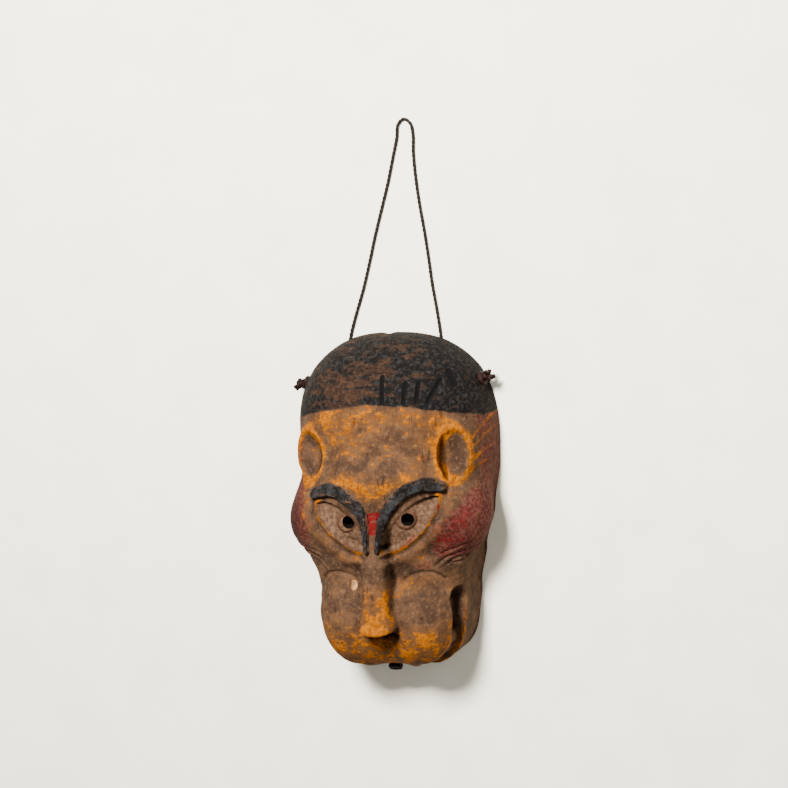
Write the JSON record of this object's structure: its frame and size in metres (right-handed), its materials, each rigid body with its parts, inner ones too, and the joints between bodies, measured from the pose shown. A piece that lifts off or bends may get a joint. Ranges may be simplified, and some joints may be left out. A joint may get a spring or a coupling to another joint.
{
  "type": "carved wooden dance mask",
  "caption": "Hollow carved wooden face mask with painted cap, brows, cup ears, trunk-like nose and puffed muzzle, thong ties at the temples and a hanging cord.",
  "frame": {"origin": "centre of the footprint of the mask and its ties, on the plane of the back rim", "axes": "+Z out of the face, up from the floor; +Y from the chin to the crown; +X towards the mask's own left"},
  "size_m": [0.2074, 0.5331, 0.111],
  "materials": {
    "painted_wood": "old carved wood under worn ochre, charcoal and red paint",
    "brown_leather": "dry red-brown thong",
    "black_leather": "smooth black thong",
    "dark_cord": "dark brown twisted cord"
  },
  "bodies": {
    "root": {"mask": "painted_wood", "left_tie": "brown_leather", "right_tie": "brown_leather", "chin_tie": "black_leather", "hanging_cord": "dark_cord", "cord_knot_left": "dark_cord", "cord_knot_right": "dark_cord"}
  },
  "joints": []
}
